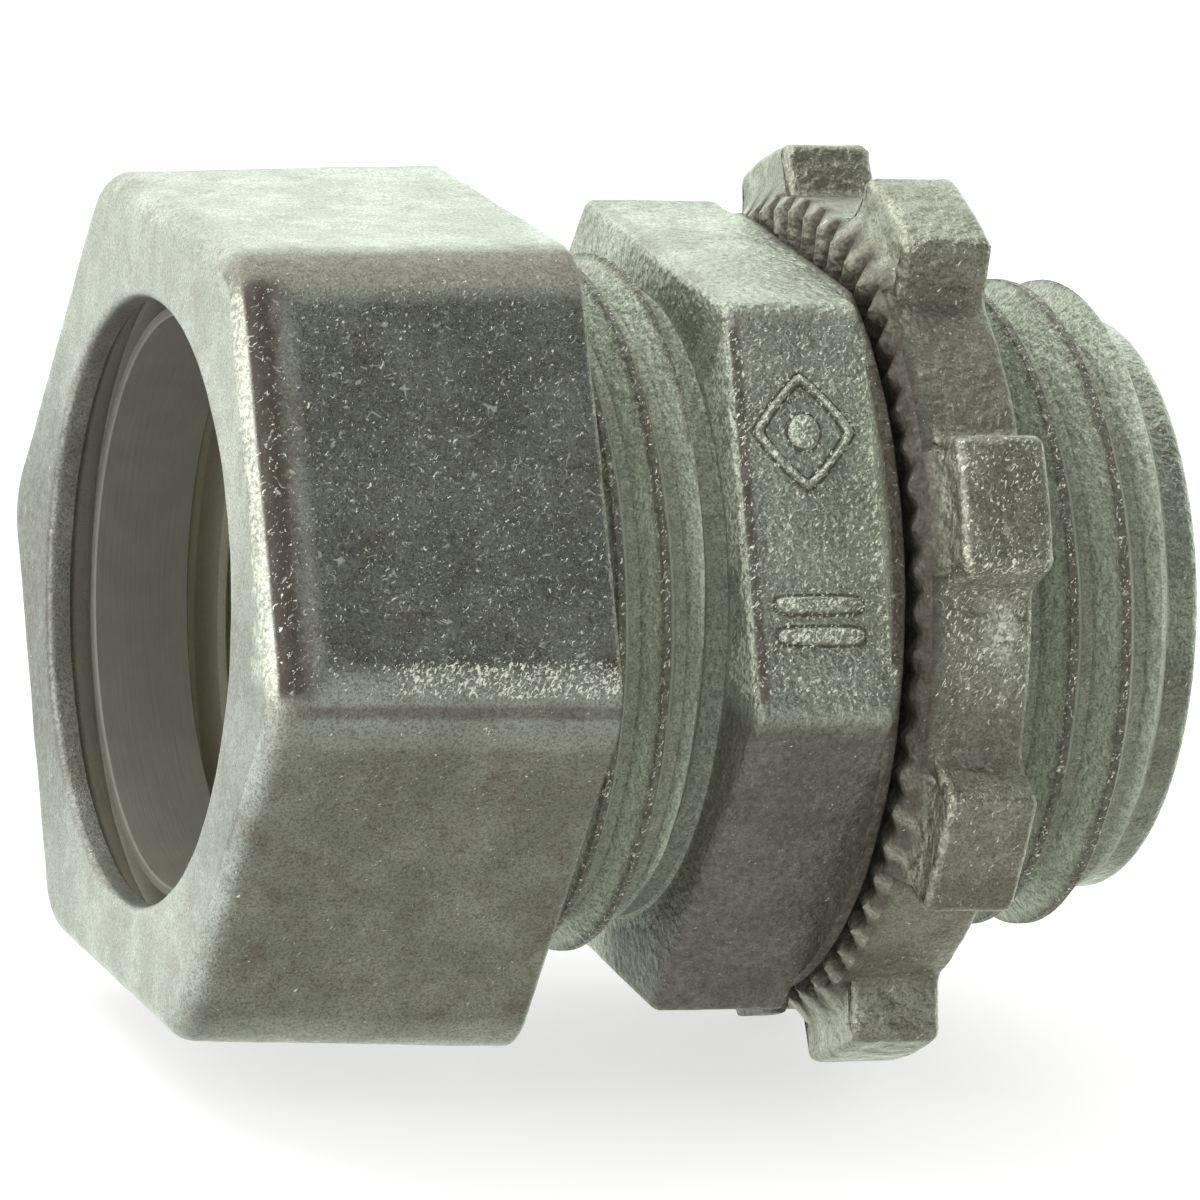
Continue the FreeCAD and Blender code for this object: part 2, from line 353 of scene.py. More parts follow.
def box_surface(x, ridge):
    full = band(x, 0.0, BOX_THREAD_FULL, BOX_THREAD_FADE, BOX_THREAD_STOP)
    return BOX_THREAD.major - BOX_THREAD.depth * (1 - ridge * full)


def make_body():
    angles = hexagon_angles(turn=0, corner_width=5, corner_steps=17, flat_steps=33)
    section = Rows(angles)
    comp_minor = COMP_THREAD.major - COMP_THREAD.depth
    section.add(BODY_LEFT, SOCKET_RADIUS + SOCKET_FLARE)
    section.add(BODY_LEFT, comp_minor - COMP_LEAD_EDGE)
    section.add(BODY_LEFT + COMP_LEAD_EDGE, comp_minor)
    section.add_all(COMP_THREAD.rows(COMP_THREAD_START, RELIEF_LEFT, angles, comp_surface))
    section.add(RELIEF_LEFT + RELIEF_SLOPE, RELIEF_RADIUS)
    section.add(BODY_HEX_LEFT - RELIEF_FILLET, RELIEF_RADIUS)
    section.add(BODY_HEX_LEFT, RELIEF_RADIUS + RELIEF_FILLET)

    def side(inset):
        return hexagon(angles, BODY_CORNER, BODY_ROUNDING, inset, 0)

    # the round flange is cut flush with the hexagon's top and bottom flats
    flat = BODY_CORNER * COS30 / np.maximum(np.abs(section.sin), 0.5)
    flange = np.minimum(FLANGE_RADIUS, flat)
    stub = band(angles % 360, *GATE_ANGLES)
    section.line((BODY_HEX_LEFT, RELIEF_RADIUS + RELIEF_FILLET), (BODY_HEX_LEFT, side(BODY_EDGE)), 5)
    for turn in quarter_turn(10, 1):
        x = BODY_HEX_LEFT + BODY_EDGE * (1 - math.cos(turn))
        section.add(x, side(BODY_EDGE * (1 - math.sin(turn))))
    section.line((BODY_HEX_LEFT + BODY_EDGE, side(0)), (GATE_LEFT, side(0)), 12)
    with_stub = side(0) + (GATE_RADIUS - side(0)) * stub
    section.add(GATE_LEFT + GATE_SLOPE, with_stub)
    for turn in quarter_turn(4):
        x = BODY_HEX_RIGHT - BODY_RIGHT_EDGE * (1 - math.sin(turn))
        edge = np.maximum(side(BODY_RIGHT_EDGE * (1 - math.cos(turn))), np.minimum(flange, side(0)))
        section.add(x, np.maximum(edge, with_stub * (stub > 0)))
    flange = flange + (GATE_RADIUS - flange) * stub
    section.add(BODY_HEX_RIGHT, flange)
    section.add(-FLANGE_EDGE, flange)
    section.add(-FLANGE_EDGE / 3, flange - FLANGE_EDGE / 3)
    section.add(0, flange - FLANGE_EDGE)
    box_minor = BOX_THREAD.major - BOX_THREAD.depth
    section.line((0, flange - FLANGE_EDGE), (0, box_minor), 3)
    section.add_all(BOX_THREAD.rows(0, BOX_THREAD_STOP, angles, box_surface))
    section.line((BOX_THREAD_STOP, box_minor), (BODY_RIGHT - NOSE_ROUNDING, NOSE_TIP_RADIUS), 3)
    for turn in quarter_turn(5, 1):
        section.add(BODY_RIGHT - NOSE_ROUNDING * (1 - math.sin(turn)),
                    NOSE_TIP_RADIUS - NOSE_ROUNDING * (1 - math.cos(turn)))
    for turn in quarter_turn(5):
        section.add(BODY_RIGHT - THROAT_EDGE * (1 - math.cos(turn)),
                    THROAT_RADIUS + THROAT_EDGE * (1 - math.sin(turn)))
    section.line((BODY_RIGHT - THROAT_EDGE, THROAT_RADIUS), (SOCKET_STOP, THROAT_RADIUS), 6)
    section.line((SOCKET_STOP, THROAT_RADIUS), (SOCKET_STOP, SOCKET_RADIUS), 2)
    section.line((SOCKET_STOP, SOCKET_RADIUS), (BODY_LEFT + SOCKET_FLARE, SOCKET_RADIUS), 6)
    piece = closed_mesh("connector_body_casting", section.rows, BODY_SHARP_ANGLE)
    plain_vertices = len(piece.data.vertices)
    join(piece, body_marks())
    roughen(piece, depth=0.035, scale=0.55, seed=1, from_radius=SOCKET_RADIUS + 0.2)
    wear_body(piece, plain_vertices)
    return piece


def body_marks():
    """Plain raised casting marks on the front facet: a rhombus with a pip, and two bars."""
    facing = math.radians(MARK_FACET)
    normal = np.array([0, math.cos(facing), math.sin(facing)])
    up = np.array([0, math.sin(facing), -math.cos(facing)])
    along = np.array([1.0, 0, 0])
    middle = BODY_CORNER * COS30 * normal + MARK_X * along
    low, mid, high = MARK_FOOT, 0.7 * MARK_HEIGHT, MARK_HEIGHT
    rise = [(-0.1, MARK_SUNK), (-0.09, low), (0, low), (0.05, mid), (0.12, high)]
    ridge = rise + [(0.24, high), (0.31, mid), (0.36, low), (0.45, low), (0.46, MARK_SUNK)]
    pad = rise + [(9, high), (9, MARK_SUNK)]
    rhombus = middle + RHOMBUS_UP * up
    marks = [
        raised_mark("rhombus", rhombus, along, up, normal, *RHOMBUS_HALF, RHOMBUS, ridge),
        raised_mark("pip", rhombus, along, up, normal, *PIP_HALF, OVAL, pad),
    ]
    for bar_up in BARS_UP:
        marks.append(raised_mark("bar", middle + bar_up * up, along, up, normal, *BAR_HALF, BAR, pad))
    return marks


# painted zones of the body, as angles in degrees and as shares of BODY_EDGE from the hexagon's left
BODY_FRONT = (121, 124, 176, 179)
BODY_LOWER_SHADE = (178, 182, 250, 270)
BODY_STRIP = (0.0, 0.06, 0.14, 0.26)
BODY_DARK_LINE = (0.24, 0.5, 0.9, 2.2)
INSIDE_DEPTH = 1.2


def wear_body(piece, plain_vertices):
    """Paints the body; the vertices from number plain_vertices on belong to its marks."""
    co = coordinates(piece)
    x, radius, angle = polar(co)
    on_hex = (x > BODY_HEX_LEFT - 0.05) & (x < 0.05) & (radius > RELIEF_RADIUS + 0.3)
    facet = band(angle, *BODY_FRONT)
    # painted shade: the lower facets, facing away from the light, are darkened with the film colour
    low = band(angle, *BODY_LOWER_SHADE)
    along = (x - BODY_HEX_LEFT) / BODY_EDGE
    # the pale strip along the hexagon's left edge is worn metal and a painted highlight
    strip = band(along, *BODY_STRIP)
    past = x - BODY_HEX_RIGHT
    # painted highlight: bright flecks along the front facet's right edge
    right = smoothstep(BODY_HEX_RIGHT - 0.3, BODY_HEX_RIGHT - 0.12, x) * smoothstep(0.06, 0.0, past)
    dark_line = band(along, *BODY_DARK_LINE) * (0.3 + 0.5 * facet)
    # painted shade: the hexagon's left face, towards the nut, is darkened, most on the front
    left_face_shade = smoothstep(0.02, -0.02, along) * (0.35 + 0.35 * facet)
    corner = smoothstep(4.5, 2.5, off_nearest(angle, 60))
    # painted shade: the flange, between the hexagon and the locknut, is darkened
    above_flat = radius - hexagon(angle, BODY_CORNER, BODY_ROUNDING, 0, 0)
    flange = np.maximum(smoothstep(0.02, 0.1, above_flat), smoothstep(BODY_HEX_RIGHT + 0.02, -0.3, x))
    flange = flange * 0.85 * (x > BODY_HEX_RIGHT - 0.12)
    facing = math.radians(MARK_FACET)
    lift = co[:, 1] * math.cos(facing) + co[:, 2] * math.sin(facing) - BODY_CORNER * COS30
    on_mark = np.arange(len(x)) >= plain_vertices
    outline = on_mark * smoothstep(0.1, 0.03, lift)
    mark_top = on_mark * smoothstep(0.08, 0.16, lift)
    box_depth = BOX_THREAD.major - radius
    comp_depth = COMP_THREAD.major - radius
    crest = np.where(x > 0, smoothstep(0.16, 0.07, box_depth), smoothstep(0.16, 0.07, comp_depth))
    root = np.where(x > 0, smoothstep(0.75, 1.1, box_depth), smoothstep(0.6, 0.9, comp_depth))
    thread = ~on_hex & (radius > SOCKET_RADIUS + 0.15) & (x < THREAD_END + 0.1)
    inside = ~on_hex & (radius < SOCKET_RADIUS + 0.12) & (x < BODY_RIGHT - INSIDE_DEPTH)
    hex_film_and_shade = np.maximum.reduce([dark_line, flange, left_face_shade, 0.7 * low, 0.8 * outline])
    hex_dull = np.maximum(0.16 * facet, 0.3 * corner * (1 - facet))
    hex_fleck_and_glint = (0.46 * facet + 0.25 * right * facet + 0.3 * mark_top) * (1 - flange) + 0.08
    paint(piece, "bare_and_highlight", on_hex * strip * (0.35 + 0.65 * facet))
    paint(piece, "film_and_shade", np.where(on_hex, hex_film_and_shade, thread * (0.75 * crest + 0.45 * root)))
    paint(piece, "dull", np.where(on_hex, hex_dull, thread * 0.7))
    paint(piece, "fleck_and_glint", np.where(on_hex, hex_fleck_and_glint, 0.12 + thread * 0.35 * crest))
    paint(piece, "inside", inside * 1.0)


# ---------------------------------------------------------------- compression nut

NUT_CORNER_LEFT = 14.61
NUT_CORNER_RIGHT = 14.98
NUT_ROUNDING = 2.6
NUT_TURN = -2.68
NUT_FACE_EDGE = 0.9
NUT_BACK_EDGE = 0.3
NUT_MOUTH_RADIUS = 9.6
NUT_MOUTH_EDGE = 0.3
NUT_MOUTH_LAND = 0.8
NUT_POCKET_RADIUS = 10.6
NUT_POCKET_END = -17.6
NUT_RELIEF_RADIUS = 11.4
NUT_THREAD_START = -16.4
NUT_THREAD_CLEARANCE = 0.09
NUT_ENTRY_CHAMFER = 0.25
NUT_ENTRY_LEAD = 1.2
NUT_SHARP_ANGLE = 38
NUT_SIDE_STEPS = 20


def make_nut():
    angles = hexagon_angles(NUT_TURN, corner_width=9, corner_steps=37, flat_steps=42)
    section = Rows(angles)

    def side(x, inset):
        along = (x - NUT_LEFT) / (NUT_RIGHT - NUT_LEFT)
        corner = NUT_CORNER_LEFT + (NUT_CORNER_RIGHT - NUT_CORNER_LEFT) * along
        return hexagon(angles, corner, NUT_ROUNDING, inset, NUT_TURN)

    for turn in quarter_turn(5):
        x = NUT_RIGHT - NUT_BACK_EDGE * (1 - math.cos(turn))
        section.add(x, side(x, NUT_BACK_EDGE * (1 - math.sin(turn))))
    outer_from = NUT_RIGHT - NUT_BACK_EDGE
    outer_to = NUT_LEFT + NUT_FACE_EDGE
    for step in range(1, NUT_SIDE_STEPS + 1):
        x = outer_from + (outer_to - outer_from) * step / NUT_SIDE_STEPS
        section.add(x, side(x, 0))
    for turn in quarter_turn(10, 1):
        x = outer_to - NUT_FACE_EDGE * math.sin(turn)
        section.add(x, side(x, NUT_FACE_EDGE * (1 - math.cos(turn))))
    mouth = NUT_MOUTH_RADIUS + NUT_MOUTH_EDGE
    section.line((NUT_LEFT, side(NUT_LEFT, NUT_FACE_EDGE)), (NUT_LEFT, mouth), 9)
    for turn in quarter_turn(4, 1):
        x = NUT_LEFT + NUT_MOUTH_EDGE * (1 - math.cos(turn))
        section.add(x, mouth - NUT_MOUTH_EDGE * math.sin(turn))
    land_end = NUT_LEFT + NUT_MOUTH_LAND
    cone_end = land_end + NUT_POCKET_RADIUS - NUT_MOUTH_RADIUS
    section.add(land_end, NUT_MOUTH_RADIUS)
    section.line((land_end, NUT_MOUTH_RADIUS), (cone_end, NUT_POCKET_RADIUS), 3)
    section.line((cone_end, NUT_POCKET_RADIUS), (NUT_POCKET_END, NUT_POCKET_RADIUS), 2)
    section.add(NUT_POCKET_END, NUT_RELIEF_RADIUS)
    section.add(NUT_THREAD_START, NUT_RELIEF_RADIUS)
    bore = COMP_THREAD.major + NUT_THREAD_CLEARANCE

    def inner_surface(x, ridge):
        grooves = smoothstep(NUT_THREAD_START, NUT_THREAD_START + 0.1, x)
        lead = smoothstep(NUT_RIGHT - NUT_ENTRY_LEAD, NUT_RIGHT - NUT_ENTRY_CHAMFER, x)
        height = (1 - ridge) * grooves * (1 - lead)
        return bore + (NUT_RELIEF_RADIUS - bore) * (1 - grooves) - COMP_THREAD.depth * height

    thread_stop = NUT_RIGHT - NUT_ENTRY_CHAMFER
    section.add_all(COMP_THREAD.rows(NUT_THREAD_START, thread_stop, angles, inner_surface))
    entry = (NUT_RIGHT, bore + NUT_ENTRY_CHAMFER)
    section.add(*entry)
    section.line(entry, (NUT_RIGHT, side(NUT_RIGHT, NUT_BACK_EDGE)), 2, with_end=False)
    piece = closed_mesh("compression_nut_casting", section.rows, NUT_SHARP_ANGLE)
    roughen(piece, depth=0.05, scale=0.3, seed=2)
    wear_nut(piece)
    return piece


# painted zones of the nut, as angles in degrees from NUT_TURN and as shares of NUT_FACE_EDGE
NUT_OUTSIDE_RADIUS = 11.9
NUT_UPPER_CORNER = (115.5, 118.5, 122.5, 124.5)
NUT_FRONT_FROM = (120, 124)
NUT_FRONT_TO = (177, 180)
NUT_LOWER_GLINTS = (172.5, 174.5, 177.6, 179.2)
NUT_LOWER_SHADE = (178.6, 179.6, 180.4, 181.4)
NUT_STRIP = (0.0, 0.05, 0.28, 0.42)
NUT_DARK_LINE = (0.3, 0.42, 0.85, 2.5)
NUT_FACE_SHADE_FAR = -16
NUT_FACE_SHADE_LOW = 190


def wear_nut(piece):
    x, radius, angle = polar(coordinates(piece), NUT_TURN)
    outside = radius > NUT_OUTSIDE_RADIUS
    front = band(angle, *NUT_FRONT_FROM, *NUT_FRONT_TO)
    along = (x - NUT_LEFT) / NUT_FACE_EDGE
    strip = band(along, *NUT_STRIP)
    # the rounded corner above the front facet is duller; along the one below, a dark line is painted
    # shade, and a band of bright flecks above it on the facet is a painted highlight
    above = band(angle, *NUT_UPPER_CORNER)
    corner = smoothstep(6, 4, off_nearest(angle, 60))
    line = band(angle, *NUT_LOWER_SHADE) * (along > 1)
    lower_glints = band(angle, *NUT_LOWER_GLINTS) * smoothstep(NUT_LEFT + 1.5, NUT_LEFT + 5, x)
    back_edge = smoothstep(NUT_RIGHT - 0.35, NUT_RIGHT - 0.15, x)
    face = (along < 0.07) & (radius > NUT_MOUTH_RADIUS + 0.1)
    # painted shade: the end face is darkened on its far side and on its low side
    far_side_shade = smoothstep(75, 15, apart(angle, NUT_FACE_SHADE_FAR))
    low_side_shade = smoothstep(50, 15, apart(angle, NUT_FACE_SHADE_LOW))
    land_end = NUT_LEFT + NUT_MOUTH_LAND
    mouth = (radius < NUT_MOUTH_RADIUS + 0.32) & (x > NUT_LEFT + 0.1) & (x < land_end + 1.6)
    film_and_shade = band(along, *NUT_DARK_LINE) * (0.2 + 0.75 * front)
    film_and_shade = np.maximum(film_and_shade, 0.3 * front * smoothstep(0.0, 0.1, along) * (along < 0.4))
    # painted shade: the mouth is darkened, more the deeper it goes in
    film_and_shade = np.maximum(film_and_shade, mouth * (0.45 + 0.5 * smoothstep(NUT_LEFT + 0.6, NUT_LEFT + 1.3, x)))
    film_and_shade = (outside | mouth) * np.maximum(film_and_shade, 0.6 * line)
    fleck_and_glint = np.maximum(np.maximum(0.34 * front, 0.85 * lower_glints), 0.1)
    # the pale strip along the left edge of the front is worn metal and a painted highlight
    paint(piece, "bare_and_highlight", outside * np.maximum(strip * (0.35 + 0.3 * front), 0.5 * back_edge * front))
    paint(piece, "film_and_shade", np.where(face, np.maximum(0.62 * far_side_shade, 0.45 * low_side_shade), film_and_shade))
    paint(piece, "dull", np.where(outside & ~face, np.maximum(above, 0.35 * corner), 0.15))
    paint(piece, "fleck_and_glint", outside * ~face * fleck_and_glint)
    paint(piece, "inside", (~outside & ~mouth & (x > land_end)) * 0.8)


# ---------------------------------------------------------------- gland ring

RING_INNER = 9.1
RING_OUTER = 10.35
RING_FACE = 0.3
RING_SPLIT = 1.2
RING_SPLIT_ANGLE = 180.0
RING_COLUMNS = 301
RING_EDGE = 0.06
RING_OUTER_EDGE = (0.08, 0.05)   # along X and inwards
RING_LONG_SIDE = 0.5
RING_SHARP_ANGLE = 30


def make_ring():
    half_split = math.degrees(RING_SPLIT / 2 / ((RING_INNER + RING_OUTER) / 2))
    angles = RING_SPLIT_ANGLE + np.linspace(half_split, 360 - half_split, RING_COLUMNS)
    section = Rows(angles)
    bevel = RING_OUTER - RING_INNER - RING_FACE
    edge_x, edge_in = RING_OUTER_EDGE
    corners = [
        (RING_LEFT, RING_INNER + RING_EDGE),
        (RING_LEFT + RING_EDGE, RING_INNER),
        (RING_RIGHT - RING_EDGE, RING_INNER),
        (RING_RIGHT, RING_INNER + RING_EDGE),
        (RING_RIGHT, RING_INNER + RING_FACE),
        (RING_RIGHT - bevel, RING_OUTER - edge_in),
        (RING_RIGHT - bevel - edge_x, RING_OUTER),
        (RING_LEFT + bevel + edge_x, RING_OUTER),
        (RING_LEFT + bevel, RING_OUTER - edge_in),
        (RING_LEFT, RING_INNER + RING_FACE),
    ]
    for corner, following in zip(corners, corners[1:] + corners[:1]):
        section.add(*corner)
        if math.dist(corner, following) > RING_LONG_SIDE:
            section.line(corner, following, 3, with_end=False)
    return closed_mesh("gland_ring_steel", section.rows, RING_SHARP_ANGLE, join_ends=False)


# ---------------------------------------------------------------- locknut

LOCK_LEFT = 1.11
LOCK_BORE = 10.6
LOCK_BORE_ROOT = 11.35
LOCK_BORE_CHAMFER = 0.4
LOCK_LUGS = 8
LOCK_LUG_RADIUS = 14.91
LOCK_VALLEY_RADIUS = 13.09
LOCK_LUG_HALF_ANGLE = 8.87
LOCK_LUG_FLARE = 1.4
LOCK_TURN = 16.53
LUG_CORNER = 0.5
LUG_ROOT_FILLET = 0.5
LOCK_EDGE = 0.36
TEETH = 60
TEETH_DEPTH = 0.5
TEETH_TURN = 3.25
TEETH_CREST_SHARE = 0.08
TEETH_INNER = 10.9
TEETH_OUTER_CHAMFER = 0.45
TEETH_ROWS = (LOCK_VALLEY_RADIUS, 12.98, 12.84, LOCK_VALLEY_RADIUS - TEETH_OUTER_CHAMFER,
              12.3, 11.8, 11.3, TEETH_INNER)
TEETH_WORN = (105, 140, 205, 235)     # the angles where they are most worn
TEETH_WEAR = 0.5
TOOTH_PITCH = 360 / TEETH
LUG_PITCH = 360 / LOCK_LUGS
LUG_RIM = 1.2
LEAST_TURN = 0.045                    # columns that lie closer, in degrees, are one
LOCK_SEAT = 0.1                       # depth of the flat ring between the teeth and the bore
LOCK_SHARP_ANGLE = 40


def lug_profile(off_lug):
    """The outline's radius at each angle from a lug's middle, with its corners and roots rounded."""
    corner = math.degrees(LUG_CORNER / LOCK_LUG_RADIUS)
    tip = LOCK_LUG_HALF_ANGLE
    root = LOCK_LUG_HALF_ANGLE + LOCK_LUG_FLARE
    fillet = math.degrees(LUG_ROOT_FILLET / LOCK_VALLEY_RADIUS)
    on_corner = np.clip((off_lug - (tip - corner)) / corner, 0, 1)
    shoulder = LOCK_LUG_RADIUS - LUG_CORNER * (1 - np.sqrt(np.maximum(1 - on_corner ** 2, 0)))
    tip_radius = LOCK_LUG_RADIUS - LUG_CORNER
    foot_radius = LOCK_VALLEY_RADIUS + LUG_ROOT_FILLET
    flank = tip_radius + (foot_radius - tip_radius) * np.clip((off_lug - tip) / LOCK_LUG_FLARE, 0, 1)
    on_foot = np.clip((root + fillet - off_lug) / fillet, 0, 1)
    foot = LOCK_VALLEY_RADIUS + LUG_ROOT_FILLET * (1 - np.sqrt(np.maximum(1 - on_foot ** 2, 0)))
    return np.where(off_lug < tip, shoulder, np.where(off_lug < root, flank, foot))


def locknut_angles():
    """Angles that catch every tooth's crest and gap, and every lug's corners and roots."""
    tooth = np.array([-3, -2.4, -1.5, -0.7, -0.24, 0.24, 0.7, 1.5, 2.4])
    teeth = [TEETH_TURN + TOOTH_PITCH * count + tooth for count in range(TEETH)]
    corner = math.degrees(LUG_CORNER / LOCK_LUG_RADIUS)
    fillet = math.degrees(LUG_ROOT_FILLET / LOCK_VALLEY_RADIUS)
    root = LOCK_LUG_HALF_ANGLE + LOCK_LUG_FLARE
    flank = np.concatenate([
        LOCK_LUG_HALF_ANGLE - corner * (1 - np.sin(np.radians([0, 20, 40, 60, 75, 85]))),
        LOCK_LUG_HALF_ANGLE + LOCK_LUG_FLARE * np.array([0.0, 0.33, 0.66, 1.0]),
        root + fillet * (1 - np.sin(np.radians([80, 60, 40, 20, 0]))),
    ])
    lugs = []
    for lug in range(LOCK_LUGS):
        middle = LOCK_TURN + LUG_PITCH * lug
        lugs += [middle + flank, middle - flank]
    every = np.unique(np.round(np.concatenate(teeth + lugs) % 360, 3))
    keep = np.concatenate([[True], np.diff(every) > LEAST_TURN])
    every = every[keep]
    return np.concatenate([every, [every[0] + 360]])


def make_locknut():
    angles = locknut_angles()
    section = Rows(angles)
    outline = lug_profile(off_nearest(angles - LOCK_TURN, LUG_PITCH))
    y = outline * section.cos
    z = outline * section.sin
    # the outline's outward normal, from the points on each side
    dy = np.gradient(np.concatenate([y[-3:-1], y, y[1:3]]))[2:-2]
    dz = np.gradient(np.concatenate([z[-3:-1], z, z[1:3]]))[2:-2]
    length = np.hypot(dy, dz)
    ny, nz = dz / length, -dy / length
    is_lug = smoothstep(0.0, 0.5, outline - LOCK_VALLEY_RADIUS)

    def rim(x, inset):
        section.points(x, y - ny * inset, z - nz * inset)

    # right face, edge, side, edge, left face of the lugs
    bore_edge = LOCK_BORE + LOCK_BORE_CHAMFER
    section.add(LOCK_RIGHT, bore_edge)
    section.add(LOCK_RIGHT, 0.5 * (bore_edge + LOCK_VALLEY_RADIUS))
    section.add(LOCK_RIGHT, LOCK_VALLEY_RADIUS - LOCK_EDGE - 0.1)
    section.add(LOCK_RIGHT, np.maximum(outline - LUG_RIM, LOCK_VALLEY_RADIUS - LOCK_EDGE - 0.05))
    for turn in quarter_turn(4):
        rim(LOCK_RIGHT - LOCK_EDGE * (1 - math.cos(turn)), LOCK_EDGE * (1 - math.sin(turn)))
    for step in range(1, 7):
        rim(LOCK_RIGHT - LOCK_EDGE + (LOCK_LEFT + LOCK_EDGE - LOCK_RIGHT + LOCK_EDGE) * step / 6, 0)
    for turn in quarter_turn(4, 1):
        rim(LOCK_LEFT + LOCK_EDGE * (1 - math.sin(turn)), LOCK_EDGE * (1 - math.cos(turn)) * is_lug)
    section.add(LOCK_LEFT, np.maximum(outline - LUG_RIM, LOCK_VALLEY_RADIUS + 0.01 * is_lug))
    # crown of serrations: each gap is deeper towards the outside
    off_tooth = off_nearest(angles - TEETH_TURN, TOOTH_PITCH) / (TOOTH_PITCH / 2)
    gap = np.clip((off_tooth - TEETH_CREST_SHARE) / (1 - TEETH_CREST_SHARE), 0, 1)
    worn = 1 - TEETH_WEAR * band(angles % 360, *TEETH_WORN)
    for radius in TEETH_ROWS:
        cut = TEETH_TIP + TEETH_DEPTH * radius / LOCK_VALLEY_RADIUS * gap * worn
        chamfer = TEETH_TIP + max(0.0, radius - (LOCK_VALLEY_RADIUS - TEETH_OUTER_CHAMFER))
        section.add(np.minimum(np.maximum(cut, chamfer), LOCK_LEFT), radius)
    section.add(LOCK_LEFT + LOCK_SEAT, TEETH_INNER)
    section.add(LOCK_LEFT + LOCK_SEAT, LOCK_BORE_ROOT)

    def inner_surface(x, ridge):
        full = smoothstep(LOCK_RIGHT - 0.1, LOCK_RIGHT - LOCK_BORE_CHAMFER - 0.2, x)
        return LOCK_BORE_ROOT - (LOCK_BORE_ROOT - LOCK_BORE) * (1 - ridge) * full

    thread_stop = LOCK_RIGHT - 0.05
    section.add_all(BOX_THREAD.rows(LOCK_LEFT + LOCK_SEAT, thread_stop, angles, inner_surface))
    piece = closed_mesh("locknut_casting", section.rows, LOCK_SHARP_ANGLE)
    roughen(piece, depth=0.045, scale=0.7, seed=3, from_radius=11.5)
    wear_locknut(piece)
    return piece


# painted zones of the locknut, as angles in degrees
LOCK_FRONT_FROM = (100, 130)
LOCK_FRONT_TO = (180, 200)
VALLEY_HIGHLIGHT = (156, 162, 176, 182)
DARK_LUG = (138, 142, 156, 160)
SHINE_ANGLE = 167.5
SHINE_HALF_ANGLE = 6.5
SHINE_OFF_MIDDLE = 0.4
SHINE_HALF_WIDTH = 0.75


def wear_locknut(piece):
    x, radius, angle = polar(coordinates(piece))
    off_tooth = off_nearest(angle - TEETH_TURN, TOOTH_PITCH) / (TOOTH_PITCH / 2)
    on_teeth = smoothstep(LOCK_LEFT + 0.1, LOCK_LEFT - 0.1, x) * (radius > TEETH_INNER - 0.1)
    tips = smoothstep(LOCK_VALLEY_RADIUS - 0.7, LOCK_VALLEY_RADIUS - 0.3, radius)
    tips = tips * smoothstep(0.35, 0.1, off_tooth)
    front = band(angle, *LOCK_FRONT_FROM, *LOCK_FRONT_TO)
    outer = smoothstep(LOCK_VALLEY_RADIUS + 0.9, LOCK_VALLEY_RADIUS + 1.6, radius)
    valley = smoothstep(LOCK_VALLEY_RADIUS + 0.7, LOCK_VALLEY_RADIUS + 0.2, radius)
    bore = radius < LOCK_BORE_ROOT + 0.05
    # painted highlight: on the front valley, less film and more flecks where the curve mirrors the
    # light
    valley_highlight = band(angle, *VALLEY_HIGHLIGHT)
    off_middle = x - 0.5 * (LOCK_LEFT + LOCK_RIGHT)
    # painted highlight: a pale patch, painted as bare metal, on the lug's outer face
    off_shine = np.hypot((angle - SHINE_ANGLE) / SHINE_HALF_ANGLE,
                         (off_middle - SHINE_OFF_MIDDLE) / SHINE_HALF_WIDTH)
    shine = np.exp(-off_shine ** 2) * (1 - on_teeth) * ~bore
    # the lugs' rims are pale: worn metal and painted highlights along the edges
    rim_wear_and_highlight = outer * np.maximum(smoothstep(LOCK_LEFT + 0.4, LOCK_LEFT + 0.15, x),
                              smoothstep(LOCK_RIGHT - 0.4, LOCK_RIGHT - 0.15, x))
    # painted shade: the valleys between the lugs are darkened, more on the front
    valley_shade = (0.35 + 0.15 * front) * valley * (1 - shine)
    # painted shade: the teeth, in the gap between the locknut and the flange, and the gaps between
    # them are darkened
    film_and_shade = np.maximum.reduce([
        on_teeth * 0.8 * smoothstep(0.1, 0.6, off_tooth),
        on_teeth * (0.4 + 0.45 * front),
        valley_shade * (1 - valley_highlight * smoothstep(-0.4, 0.2, off_middle)),
        0.4 * band(angle, *DARK_LUG) * outer,
    ])
    worn_tips = 0.45 * tips * on_teeth * (1 - 0.8 * front)
    paint(piece, "bare_and_highlight", np.maximum.reduce([worn_tips, 0.4 * rim_wear_and_highlight, 0.75 * shine]))
    paint(piece, "film_and_shade", np.where(bore, 0.5, film_and_shade))
    paint(piece, "dull", np.where(bore, 0.8, 0.12))
    paint(piece, "fleck_and_glint", ~bore * (0.22 + 0.3 * front * outer + 0.35 * valley_highlight) * (1 - on_teeth))
    paint(piece, "inside", np.zeros(len(x)))


# ---------------------------------------------------------------- materials


